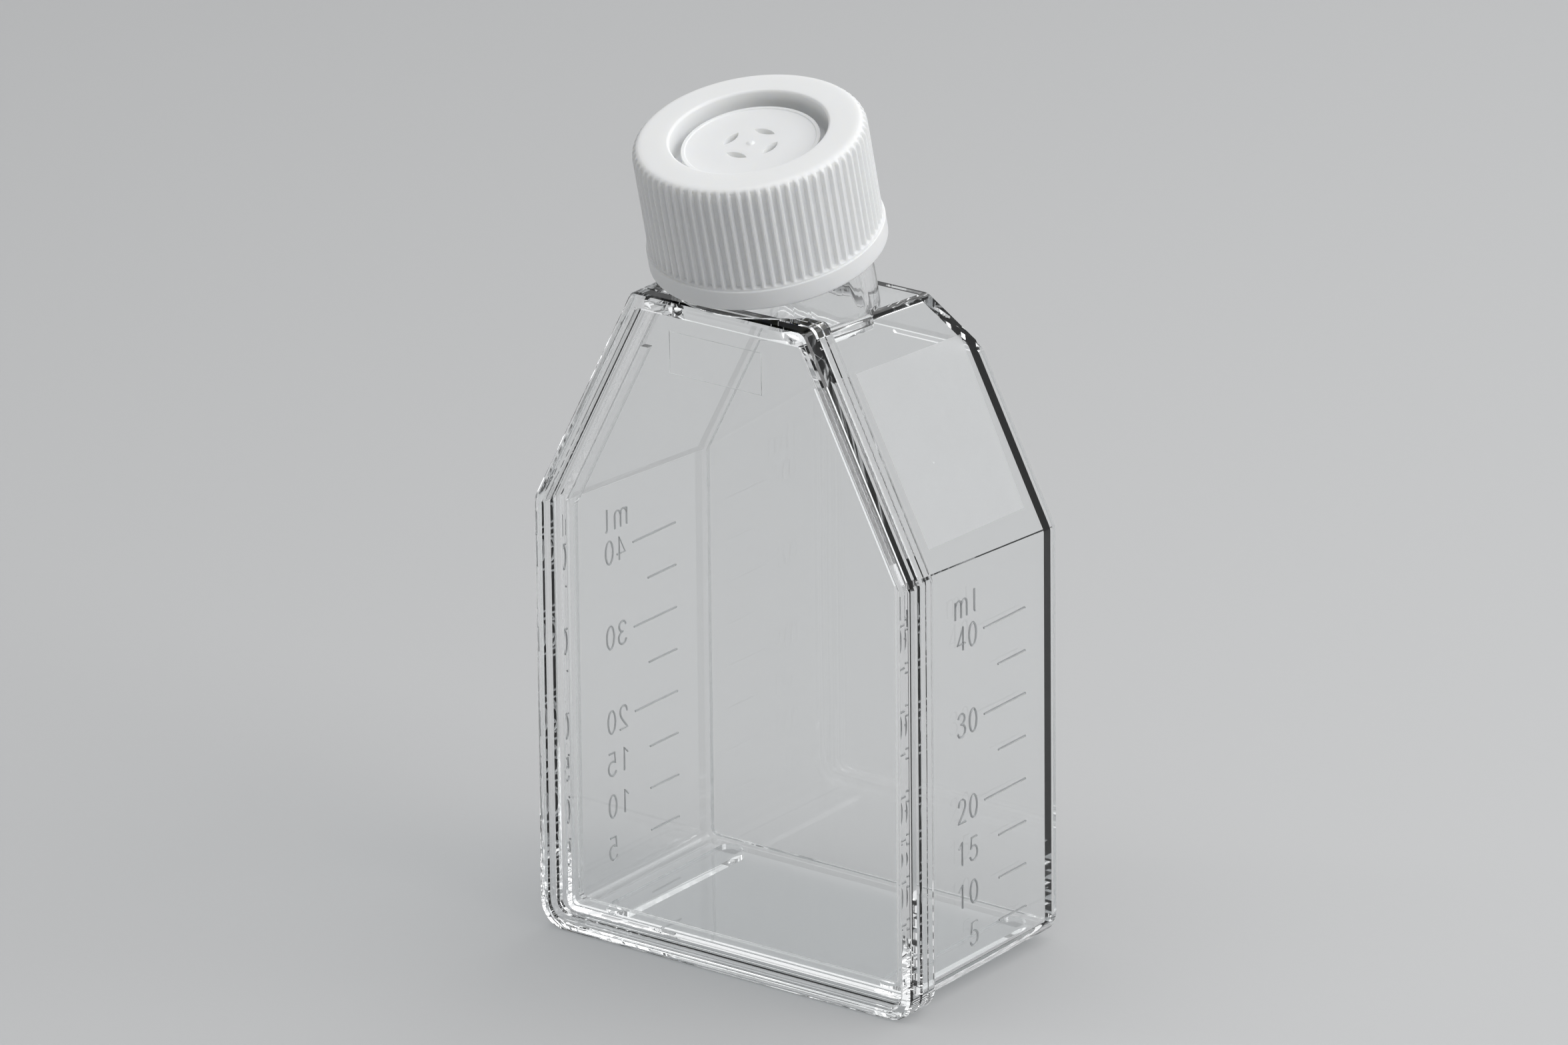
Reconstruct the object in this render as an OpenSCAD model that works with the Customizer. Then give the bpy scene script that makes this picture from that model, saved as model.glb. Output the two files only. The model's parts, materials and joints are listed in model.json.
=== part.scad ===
// Cell culture flask with 25 cm2 of growth area, a canted neck and a vented screw cap.
// It stands on its bottom end. X runs across the lid, Y from the lid (front) to the growth wall
// (back), and Z up towards the neck. The origin is on the standing plane, in the middle of the
// bottom edge of the tray's weld flange.

/* [Lid plate] */
// Width of the lid across its straight sides
lid_w = 48.4; // [42:0.1:60]
// Height at which the sides turn in towards the neck
shoulder_h = 48.15; // [36:0.05:54]
// Height of the lid's narrow end
lid_h = 73.55; // [70:0.05:90]
// Width of the lid's narrow end
lid_top_w = 22.2; // [18:0.1:28]
// Radius of the lid's bottom corners
foot_corner_r = 3; // [1:0.1:6]
// Radius of the lid's shoulder and neck-end corners
lid_corner_r = 1.2; // [0.4:0.1:3]
// Width of the raised stacking rim along the sides
rim_w = 1.4; // [1:0.05:3]
// Width of the raised stacking rim along the neck end
rim_end_w = 1.75; // [1:0.05:4]
// Height of the stacking rim above the lid's face
rim_h = 1.6; // [0.8:0.05:3]
// Radius of the stacking rim's outer front edge
rim_edge_r = 0.45; // [0.2:0.05:0.6]
// Radius of the fillet between the stacking rim and the lid's face
rim_fillet_r = 0.8; // [0.2:0.05:1]
// Thickness of the lid plate
lid_t = 1.5; // [0.8:0.05:3]
// Depth of the groove between the rim's bead and the lid's weld flange
bead_groove = 0.2; // [0.1:0.02:0.4]
// Depth from the rim's face to that groove
bead_t = 1.9; // [1.5:0.05:2.4]
// Height of the locating tongue on the lid's inner side
tongue_h = 0.8; // [0.4:0.05:1.5]
// Width of the locating tongue
tongue_w = 0.8; // [0.4:0.05:1.5]
// Gap between the tongue and the tray's walls
tongue_gap = 0.15; // [0.05:0.01:0.4]

/* [Tray] */
// Depth from the stacking rim's face to the growth wall's outer face
body_d = 27.8; // [20:0.1:45]
// Thickness of the tray's walls
wall = 1.2; // [0.8:0.05:2]
// Thickness of the tray's weld flange
flange_t = 1.3; // [0.8:0.05:2.5]
// Step from the flange's edge in to the side walls
flange_step = 1.3; // [0.6:0.05:2.5]
// Radius of the fillet behind the flange
flange_fillet_r = 0.5; // [0.2:0.05:0.9]
// Step from the flange's edge in to the neck-end wall
neck_end_step = 1.05; // [0.6:0.05:2]
// Height of the tray's bottom wall above the standing plane
foot_h = 0.9; // [0.5:0.05:2]
// Draft of the straight side walls, in degrees
side_draft = 0.4; // [0:0.1:2]
// Draft of the tapered side walls, in degrees
taper_draft = 1.9; // [0:0.1:3]
// Draft of the neck-end wall, in degrees
neck_end_draft = 4; // [0:0.1:5]
// Draft of the bottom wall, in degrees
bottom_draft = 0.4; // [0:0.1:2]
// Radius of the tray's outer corners at the bottom
tray_corner_r = 1.5; // [0.8:0.1:3]
// Radius of the tray's shoulder and neck-end corners
shoulder_corner_r = 0.6; // [0.3:0.1:2]
// Radius of the growth wall's outer edge
growth_edge_r = 0.3; // [0.1:0.05:0.6]
// Height on the growth wall at which the ramp starts
ramp_h = 64.8; // [58:0.1:67]
// Angle between the ramp and the growth wall
ramp_angle = 37.3; // [25:0.1:50]

/* [Feet and ridge] */
// Distance of each foot rib from the middle
foot_rib_x = 17.9; // [10:0.1:19]
// Width of each foot rib
foot_rib_w = 2.8; // [1.5:0.1:5]
// Gap between the weld flange and the front end of a foot rib
foot_rib_front = 0.9; // [0.3:0.1:6]
// Distance of a foot rib's back end from the growth wall's outer face
foot_rib_back = 0.5; // [0.2:0.1:6]
// Height of the stacking ridge on the growth wall
ridge_h = 0.6; // [0.3:0.05:1.5]
// Width of the stacking ridge
ridge_w = 0.9; // [0.5:0.05:2]
// Gap in the ridge at the foot of the ramp
ridge_gap = 3.8; // [1:0.1:10]

/* [Neck] */
// Angle by which the neck leans towards the lid's side
neck_tilt = 13.5; // [5:0.5:20]
// Depth from the rim's face to the neck's axis, at the neck's root
neck_y = 10.65; // [10:0.05:12]
// Drop from the top of the lid to the neck's root
neck_root_drop = 1.5; // [1:0.05:2]
// Length of the neck from its root to its rim
neck_len = 18.05; // [17:0.05:24]
// Wall thickness of the neck
neck_wall = 1.3; // [0.9:0.05:2]
// Step from the neck's side out to the block that carries its front
block_step = 0.5; // [0.3:0.05:1]
// Distance behind the neck's axis at which the block ends
block_back = 1.8; // [0:0.1:4]

/* [Screw cap] */
// Diameter of the cap over its ribs
cap_d = 24.5; // [22.5:0.1:25]
// Wall thickness of the skirt, from the crests of its ribs to its bore
skirt_wall = 1.05; // [0.85:0.05:1.5]
// Length of the cap from its top face to its lower edge
cap_len = 14; // [12:0.1:15]
// Diameter of the plain band at the cap's lower edge
band_d = 24.95; // [24.8:0.05:31]
// Height of the plain band
band_h = 2.2; // [1:0.05:4]
// Number of ribs round the cap
rib_count = 72; // [36:1:90]
// Depth of the flutes between the ribs
flute_depth = 0.38; // [0.2:0.02:0.45]
// Radius of the cap's shoulder
cap_shoulder_r = 1.2; // [0.8:0.1:2.2]
// Thickness of the cap's top ring
cap_top_t = 1.9; // [1.2:0.05:3]
// Gap between the neck's rim and the cap's top ring
seal_gap = 0.1; // [0.05:0.01:0.3]
// Radial gap between the neck and the inside of the skirt, where the thread runs
thread_gap = 0.75; // [0.5:0.05:0.9]
// Radial gap between the plug seal and the neck's bore
plug_gap = 0.1; // [0.03:0.01:0.3]
// Wall thickness of the plug seal
plug_wall = 0.8; // [0.6:0.05:1.2]
// Depth of the groove inside the plug seal, from the cap's top face
groove_depth = 3.2; // [2.4:0.05:4]
// Width of the groove round the centre disc
groove_w = 1; // [0.7:0.05:1.8]
// Depth of the centre disc's face below the cap's top face
disc_drop = 1.45; // [0.8:0.05:1.8]
// Thickness of the centre disc
disc_t = 1; // [0.6:0.05:1.2]
// Width of the low lip round the centre disc
lip_w = 0.45; // [0.2:0.05:0.8]
// Height of the low lip
lip_h = 0.12; // [0.05:0.01:0.3]
// Number of vents in the centre disc
vent_count = 4; // [2:1:6]
// Distance of each vent from the cap's axis
vent_r = 2.5; // [2:0.1:3.5]
// Length of each lens-shaped vent
vent_len = 2.6; // [1.5:0.1:3]
// Width of each lens-shaped vent
vent_w = 0.95; // [0.5:0.05:1.4]
// Diameter of the moulding gate's mark in the middle of the disc
gate_d = 0.9; // [0.5:0.1:1.4]

/* [Vent membrane] */
// Thickness of the filter membrane
membrane_t = 0.2; // [0.1:0.02:0.4]
// Gap between the membrane and the cap
membrane_gap = 0.05; // [0.02:0.01:0.1]

/* [Hidden] */

ROUND_FN = 96;      // facets of a preview circle
ARC_STEPS = 8;      // steps of a rounded corner
OVER = 1;           // how far a cutter runs past the solid
FAR = 200;          // size of a half-space cutter

front_y = -(rim_h + lid_t + flange_t / 2);
back_y = front_y + body_d;
lid_back_y = front_y + rim_h + lid_t;
flange_back_y = lid_back_y + flange_t;
half_w = lid_w / 2;
taper = atan((lid_w - lid_top_w) / 2 / (lid_h - shoulder_h));

neck_r = cap_d / 2 - skirt_wall - thread_gap;
bore_r = neck_r - neck_wall;
neck_root = [0, front_y + neck_y, lid_h - neck_root_drop];
neck_root_depth = 2 * wall + neck_r * tan(neck_tilt);

cap_r = cap_d / 2;
band_r = band_d / 2;
skirt_bore_r = neck_r + thread_gap;
plug_r = bore_r - plug_gap;
groove_r = plug_r - plug_wall;
disc_r = groove_r - groove_w;
plug_bottom = groove_depth + plug_wall;
disc_under = disc_drop + disc_t;
disc_wall_r = disc_r - plug_wall;
cap_top_z = neck_len + seal_gap + cap_top_t;
flute_r = PI * cap_r / rib_count * 0.72;
flute_foot = 0.15;  // how far above the band the flutes end

clear_ps = [0.86, 0.92, 0.95, 0.45];
white_pe = [0.93, 0.94, 0.96];
filter_white = [0.97, 0.96, 0.92];

// --- Outlines in the lid's plane, as [x, z] points ------------------------------------------

// Points of the arc that rounds corner p, between its neighbours a and b
function rounded_corner(a, p, b, r) =
    let (u = (a - p) / norm(a - p), v = (b - p) / norm(b - p),
         half = acos(u * v) / 2,
         c = p + (u + v) / norm(u + v) * r / sin(half),
         from = p + u * r / tan(half) - c,
         turn = 180 - 2 * half)
    [for (i = [0:ARC_STEPS])
        let (t = turn * i / ARC_STEPS)
        c + [from.x * cos(t) - from.y * sin(t), from.x * sin(t) + from.y * cos(t)]];

// Closed outline with each corner rounded by its own radius, counter-clockwise
function rounded_outline(pts, radii) =
    let (n = len(pts))
    [for (i = [0:n - 1])
        each rounded_corner(pts[(i + n - 1) % n], pts[i], pts[(i + 1) % n], radii[i])];

// The flask's six-sided outline, set in from the lid's edge by its own amount on each side
function flask_outline(side, slope, bottom_z, top_z, foot_r, corner_r) =
    let (x_side = half_w - side,
         z_shoulder = shoulder_h + (side * cos(taper) - slope) / sin(taper),
         x_top = half_w - (slope + (top_z - shoulder_h) * sin(taper)) / cos(taper))
    rounded_outline(
        [[x_side, bottom_z], [x_side, z_shoulder], [x_top, top_z],
         [-x_top, top_z], [-x_side, z_shoulder], [-x_side, bottom_z]],
        [foot_r, corner_r, corner_r, corner_r, corner_r, foot_r]);

// The lid's outline, set in evenly
function lid_outline(inset, end_inset = undef) =
    flask_outline(inset, inset, inset, lid_h - (is_undef(end_inset) ? inset : end_inset),
                  max(foot_corner_r - inset, 0.3), max(lid_corner_r - inset, 0.3));

// The tray's outline at depth y, its drafted walls set in by a further amount
function tray_outline(y, inset = 0) =
    let (d = y - lid_back_y)
    flask_outline(flange_step + d * tan(side_draft) + inset,
                  flange_step + d * tan(taper_draft) + inset,
                  foot_h + d * tan(bottom_draft) + inset,
                  lid_h - neck_end_step - d * tan(neck_end_draft) - inset,
                  max(tray_corner_r - inset, 0.6), max(shoulder_corner_r - inset, 0.3));

// An outline placed at depth y
function ring(outline, y) = [for (p = outline) [p.x, y, p.y]];

// --- Construction helpers -------------------------------------------------------------------

// Solid through a row of rings that have the same number of points, from front to back
module loft(rings) {
    n = len(rings[0]);
    last = len(rings) - 1;
    polyhedron(
        points = [for (r = rings) each r],
        faces = concat(
            [[for (i = [n - 1:-1:0]) i]],
            [[for (i = [0:n - 1]) last * n + i]],
            [for (k = [0:last - 1], i = [0:n - 1])
                let (j = (i + 1) % n)
                [k * n + i, k * n + j, (k + 1) * n + j, (k + 1) * n + i]]));
}

// Straight slab of an outline between two depths
module slab(outline, y_from, y_to) {
    translate([0, y_to, 0])
        rotate([90, 0, 0])
            linear_extrude(height = y_to - y_from)
                polygon(outline);
}

// Everything above the ramp's plane, moved inwards by a given amount
module above_ramp(inset) {
    translate([0, back_y, ramp_h])
        rotate([ramp_angle, 0, 0])
            translate([-FAR / 2, -inset, -FAR / 2])
                cube([FAR, FAR, FAR]);
}

// Moves its children to the neck's root and leans them along its axis
module on_neck() {
    translate(neck_root)
        rotate([neck_tilt, 0, 0])
            children();
}

// --- Tray with its neck ---------------------------------------------------------------------

module tray_shell() {
    difference() {
        loft([ring(tray_outline(lid_back_y), lid_back_y),
              ring(tray_outline(back_y - growth_edge_r), back_y - growth_edge_r),
              ring(tray_outline(back_y, growth_edge_r), back_y)]);
        above_ramp(0);
    }
}

module chamber() {
    difference() {
        loft([ring(tray_outline(lid_back_y - OVER, wall), lid_back_y - OVER),
              ring(tray_outline(back_y - wall, wall), back_y - wall)]);
        above_ramp(wall);
    }
}

module weld_flange() {
    edge = bead_groove / 2;
    loft([ring(lid_outline(edge), lid_back_y),
          ring(lid_outline(0), lid_back_y + edge),
          ring(lid_outline(0), flange_back_y - edge),
          ring(lid_outline(edge), flange_back_y)]);
    loft([ring(lid_outline(flange_step - flange_fillet_r, neck_end_step - flange_fillet_r),
               flange_back_y),
          ring(lid_outline(flange_step - flange_fillet_r * 0.3, neck_end_step - flange_fillet_r * 0.3),
               flange_back_y + flange_fillet_r * 0.3),
          ring(lid_outline(flange_step, neck_end_step), flange_back_y + flange_fillet_r)]);
}

// A foot rib with round ends, running from front to back under the bottom wall
module foot_rib(x) {
    r = foot_rib_w / 2;
    y_front = flange_back_y + foot_rib_front + r;
    y_back = back_y - foot_rib_back - r;
    height = foot_h + wall / 2;
    for (y = [y_front, y_back])
        translate([x, y, 0])
            cylinder(h = height, r = r, $fn = ROUND_FN / 2);
    translate([x - r, y_front, 0])
        cube([foot_rib_w, y_back - y_front, height]);
}

// Low ridge round the growth wall, open in the middle of the ramp's foot
module stacking_ridge() {
    side = flange_step + (back_y - lid_back_y) * tan(side_draft) + growth_edge_r;
    slope = flange_step + (back_y - lid_back_y) * tan(taper_draft) + growth_edge_r;
    bottom = foot_h + (back_y - lid_back_y) * tan(bottom_draft) + growth_edge_r;
    top = ramp_h - growth_edge_r;
    corner_r = tray_corner_r;
    translate([0, back_y + ridge_h, 0])
        rotate([90, 0, 0])
            linear_extrude(height = ridge_h + wall / 2) {
                difference() {
                    polygon(flask_outline(side, slope, bottom, top, corner_r, corner_r));
                    polygon(flask_outline(side + ridge_w, slope + ridge_w, bottom + ridge_w,
                                          top - ridge_w, corner_r / 2, corner_r / 2));
                    translate([-ridge_gap / 2 - ridge_w / 2, top - 2 * ridge_w])
                        square([ridge_gap + ridge_w, 3 * ridge_w]);
                }
                for (side_x = [-1, 1])
                    translate([side_x * (ridge_gap + ridge_w) / 2, top - ridge_w / 2])
                        circle(d = ridge_w, $fn = ROUND_FN / 4);
            }
}

module neck_tube() {
    translate([0, 0, -neck_root_depth])
        cylinder(h = neck_root_depth + neck_len, r = neck_r, $fn = ROUND_FN);
}

// Outline of the block under the neck's front, its top level with the neck-end wall at depth y
function block_outline(y) =
    let (x = neck_r + block_step,
         top = lid_h - neck_end_step - (y - lid_back_y) * tan(neck_end_draft),
         bottom = lid_h - neck_end_step - 4 * wall)
    rounded_outline([[x, bottom], [x, top], [-x, top], [-x, bottom]],
                    [block_step / 2, block_step, block_step, block_step / 2]);

// Block that carries the neck's front where the neck is wider than the tray's narrow end
module neck_block() {
    y_back = neck_root.y + block_back;
    edge = block_step / 2;
    loft([ring(block_outline(flange_back_y - edge), flange_back_y - edge),
          ring(block_outline(y_back), y_back)]);
}

module neck_bore() {
    translate([0, 0, -neck_r])
        cylinder(h = neck_r + neck_len + OVER, r = bore_r, $fn = ROUND_FN);
}

module flask_body() {
    color(clear_ps)
        difference() {
            union() {
                tray_shell();
                weld_flange();
                for (x = [-foot_rib_x, foot_rib_x])
                    foot_rib(x);
                stacking_ridge();
                on_neck() neck_tube();
                neck_block();
            }
            chamber();
            on_neck() neck_bore();
            // room for the lid, up to its top edge
            translate([-lid_w, front_y - FAR, -OVER])
                cube([2 * lid_w, FAR + lid_back_y - front_y, lid_h + OVER]);
        }
}

// --- Lid plate ------------------------------------------------------------------------------

module lid_solid() {
    edge = bead_groove / 2;
    loft([ring(lid_outline(rim_edge_r), front_y),
          ring(lid_outline(rim_edge_r * 0.3), front_y + rim_edge_r * 0.3),
          ring(lid_outline(0), front_y + rim_edge_r),
          ring(lid_outline(0), front_y + bead_t - bead_groove),
          ring(lid_outline(bead_groove), front_y + bead_t),
          ring(lid_outline(0), front_y + bead_t + bead_groove),
          ring(lid_outline(0), lid_back_y - edge),
          ring(lid_outline(edge), lid_back_y)]);
}

// The pocket in front of the lid's face: a lead-in edge, the rim's inner wall and a floor fillet
module lid_recess() {
    lead = rim_w / 6;
    steps = 4;
    loft(concat(
        [ring(lid_outline(rim_w - 2 * lead, rim_end_w - 2 * lead), front_y - lead),
         ring(lid_outline(rim_w, rim_end_w), front_y + lead)],
        [for (i = [0:steps])
            let (t = 90 * i / steps, in = rim_fillet_r * (1 - cos(t)))
            ring(lid_outline(rim_w + in, rim_end_w + in),
                 front_y + rim_h - rim_fillet_r * (1 - sin(t)))]));
}

// Ridge on the lid's inner side that centres it in the tray, left out at the neck
module locating_tongue() {
    gap = wall + tongue_gap;
    difference() {
        slab(tray_outline(lid_back_y + tongue_h, gap), lid_back_y - lid_t / 2,
             lid_back_y + tongue_h);
        slab(tray_outline(lid_back_y + tongue_h, gap + tongue_w), lid_back_y - lid_t,
             lid_back_y + tongue_h + OVER);
        translate([-lid_w, front_y, neck_root.z - neck_r / 2])
            cube([2 * lid_w, body_d, FAR]);
    }
}

module lid_plate() {
    color(clear_ps) {
        difference() {
            lid_solid();
            lid_recess();
        }
        locating_tongue();
    }
}

// --- Screw cap ------------------------------------------------------------------------------

// Half section of the cap without its flutes and vents, with z = 0 at its top face
module cap_section() {
    lead = 0.3;
    shoulder = [for (i = [0:ARC_STEPS])
        let (t = 90 * i / ARC_STEPS)
        [cap_r - cap_shoulder_r * (1 - sin(t)), -cap_shoulder_r * (1 - cos(t))]];
    polygon(concat(
        [[0, -disc_drop], [disc_r - lip_w, -disc_drop], [disc_r - lip_w, lip_h - disc_drop],
         [disc_r, lip_h - disc_drop], [disc_r, -groove_depth], [groove_r, -groove_depth],
         [groove_r, -lead], [groove_r + lead, 0]],
        shoulder,
        [[cap_r, band_h - cap_len], [band_r - lead / 2, band_h - cap_len],
         [band_r, band_h - cap_len - lead / 2], [band_r, lead - cap_len],
         [band_r - lead, -cap_len], [skirt_bore_r + lead, -cap_len],
         [skirt_bore_r, lead - cap_len], [skirt_bore_r, -cap_top_t], [plug_r, -cap_top_t],
         [plug_r, lead - plug_bottom], [plug_r - lead, -plug_bottom],
         [disc_wall_r, -plug_bottom], [disc_wall_r, -disc_under], [0, -disc_under]]));
}

// Lens-shaped vent lying along the tangent
module vent() {
    lens_r = (vent_len * vent_len + vent_w * vent_w) / (4 * vent_w);
    translate([0, 0, -disc_under - OVER])
        linear_extrude(height = disc_t + 2 * OVER)
            intersection_for (side = [-1, 1])
                translate([vent_r + side * (lens_r - vent_w / 2), 0])
                    circle(r = lens_r, $fn = ROUND_FN);
}

module cap() {
    color(white_pe)
        on_neck()
            translate([0, 0, cap_top_z]) {
                difference() {
                    rotate_extrude($fn = ROUND_FN)
                        cap_section();
                    for (i = [0:rib_count - 1])
                        rotate([0, 0, 360 * i / rib_count])
                            translate([cap_r + flute_r - flute_depth, 0, band_h + flute_foot - cap_len])
                                cylinder(h = cap_len, r = flute_r, $fn = 24);
                    for (i = [0:vent_count - 1])
                        rotate([0, 0, 360 * i / vent_count])
                            vent();
                }
                translate([0, 0, -disc_drop - lip_h])
                    cylinder(h = 2 * lip_h, d = gate_d, $fn = ROUND_FN / 4);
            }
}

// --- Vent membrane --------------------------------------------------------------------------

module vent_membrane() {
    color(filter_white)
        on_neck()
            translate([0, 0, cap_top_z - disc_under - membrane_gap - membrane_t])
                cylinder(h = membrane_t, r = disc_wall_r - membrane_gap, $fn = ROUND_FN);
}

flask_body();
lid_plate();
cap();
vent_membrane();
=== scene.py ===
"""Dresses the cell culture flask: clear vessel, frosted patch, raised scale, ribbed cap and studio."""

import json
import logging
import math
from collections.abc import Callable, Iterable, Sequence
from dataclasses import dataclass
from enum import Enum
from functools import partial
from typing import ClassVar

import bmesh
import bpy
from mathutils import Matrix, Vector


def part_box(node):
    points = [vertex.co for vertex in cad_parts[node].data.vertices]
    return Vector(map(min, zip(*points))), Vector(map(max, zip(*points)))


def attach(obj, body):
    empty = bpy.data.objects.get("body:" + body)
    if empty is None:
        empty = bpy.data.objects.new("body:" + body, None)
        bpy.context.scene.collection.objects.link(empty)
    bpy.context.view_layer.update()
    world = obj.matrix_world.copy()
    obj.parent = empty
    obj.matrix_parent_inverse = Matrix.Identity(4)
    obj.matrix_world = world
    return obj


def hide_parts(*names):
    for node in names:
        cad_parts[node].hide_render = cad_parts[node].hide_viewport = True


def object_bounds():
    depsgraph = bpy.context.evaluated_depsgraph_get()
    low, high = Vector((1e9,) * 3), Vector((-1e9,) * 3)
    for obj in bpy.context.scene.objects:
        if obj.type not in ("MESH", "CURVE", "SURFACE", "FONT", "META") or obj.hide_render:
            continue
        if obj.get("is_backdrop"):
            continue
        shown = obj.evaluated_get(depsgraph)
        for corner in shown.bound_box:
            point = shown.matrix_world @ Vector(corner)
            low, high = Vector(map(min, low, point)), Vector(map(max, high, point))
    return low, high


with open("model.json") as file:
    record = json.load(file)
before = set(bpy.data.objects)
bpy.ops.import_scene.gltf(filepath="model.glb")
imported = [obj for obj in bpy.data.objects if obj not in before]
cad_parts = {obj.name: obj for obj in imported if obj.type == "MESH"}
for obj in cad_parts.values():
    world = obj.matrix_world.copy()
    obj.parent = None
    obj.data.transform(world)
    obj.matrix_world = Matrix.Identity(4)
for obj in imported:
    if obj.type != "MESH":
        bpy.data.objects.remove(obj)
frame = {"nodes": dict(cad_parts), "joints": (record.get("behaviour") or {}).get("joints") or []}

MM = 0.001
POLYSTYRENE_IOR = 1.59
SAME_PLANE = 0.999995  # cosine from which two faces belong to one flat region
BROAD_AREA = 3 * MM * MM  # area from which a flat region counts as broad
BROAD_ANGLE = 12  # degrees from which two broad regions meet at a sharp edge
NOISE_CORE = (0.35, 0.65)  # ranges in which a noise pattern mostly varies
NOISE_SPAN = (0.3, 0.7)
LOG = logging.getLogger("culture_flask")
Point = tuple[float, float]
Triple = tuple[float, float, float]
Material = bpy.types.Material
Mesh = bpy.types.Mesh
Socket = bpy.types.NodeSocket
Work = bmesh.types.BMesh


class Node(Enum):
    """CAD nodes of the part."""

    TRAY = "flask_body"
    LID = "lid_plate"
    CAP = "cap"
    MEMBRANE = "vent_membrane"


class Body(Enum):
    """CAD bodies that pieces ride on."""

    FLASK = "flask"
    CAP = "cap"


class Slot(Enum):
    """Material slots of the record."""

    CLEAR = "clear_polystyrene"
    WHITE = "white_polyethylene"


class Join(Enum):
    """Ways in which closed meshes are combined."""

    ADD = "UNION"
    CUT = "DIFFERENCE"


class Wall(Enum):
    """Narrow side walls that carry a scale; the value is the sign of x."""

    RIGHT = 1
    LEFT = -1


# --- Node trees ---


class Tree:
    """Adds nodes to a node tree and links them as they are added."""

    def __init__(self, tree: bpy.types.NodeTree) -> None:
        """Wraps the node tree that receives the nodes."""
        self.tree = tree

    def add(self, kind: str, inputs: dict | None = None, **settings: object) -> bpy.types.Node:
        """Adds one node.

        Args:
            kind: Type name of the node.
            inputs: Values or output sockets by the input's name or index.
            settings: The node's own properties.

        Returns:
            The new node.
        """
        node = self.tree.nodes.new(kind)
        for key, value in settings.items():
            setattr(node, key, value)
        for key, value in (inputs or {}).items():
            self.feed(node.inputs[key], value)
        return node

    def feed(self, socket: Socket, value: object) -> None:
        """Links a socket to another one, or sets its value."""
        if isinstance(value, Socket):
            self.tree.links.new(value, socket)
        else:
            socket.default_value = value

    def out(self, kind: str, inputs: dict | None = None, **settings: object) -> Socket:
        """Adds one node, as add does, and returns its first output."""
        return self.add(kind, inputs, **settings).outputs[0]

    def math(self, operation: str, *values: object) -> Socket:
        """Adds a Math node with numbers or sockets as its inputs, in order, and returns its result."""
        return self.out("ShaderNodeMath", dict(enumerate(values)), operation=operation)

    def spread(self, value: Socket, start: Sequence[object], result: Sequence[object],
               smooth: bool = False) -> Socket:
        """Maps one range of values to another with clamped ends, in a straight or a smooth run.

        Args:
            value: Incoming value.
            start: Both ends of the range that comes in.
            result: What they become.
            smooth: Whether the run is eased at both ends.

        Returns:
            The mapped value.
        """
        return self.out("ShaderNodeMapRange", {
            "Value": value, "From Min": start[0], "From Max": start[1], "To Min": result[0],
            "To Max": result[1]}, interpolation_type="SMOOTHSTEP" if smooth else "LINEAR")


class ShaderTree(Tree):
    """Node tree of a material or the world, with the patterns that the finishes share."""

    def noise(self, place: Socket, scale: float, detail: float, distortion: float = 0.0) -> Socket:
        """Adds a noise pattern from 0 to 1, with its scale in waves to the metre."""
        return self.add("ShaderNodeTexNoise", {
            "Vector": place, "Scale": scale, "Detail": detail, "Distortion": distortion}).outputs["Fac"]

    def relief(self, height: Socket, depth: float) -> Socket:
        """Adds a bump of a given depth."""
        return self.out("ShaderNodeBump", {"Height": height, "Strength": 1.0, "Distance": depth})

    def blend(self, share: Socket, one: Triple, other: Triple) -> Socket:
        """Mixes two colours by a share from 0 to 1."""
        mix = self.add("ShaderNodeMix", {0: share, 6: (*one, 1), 7: (*other, 1)}, data_type="RGBA")
        return mix.outputs[2]

    def passing_lamps(self, shader: Socket, tint: Triple) -> Socket:
        """Lets the light of lamps through a clear plastic with a tint, so that its shadow is pale."""
        lamp = self.add("ShaderNodeLightPath").outputs["Is Shadow Ray"]
        film = self.out("ShaderNodeBsdfTransparent", {"Color": (*tint, 1)})
        return self.out("ShaderNodeMixShader", {0: lamp, 1: shader, 2: film})


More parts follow.
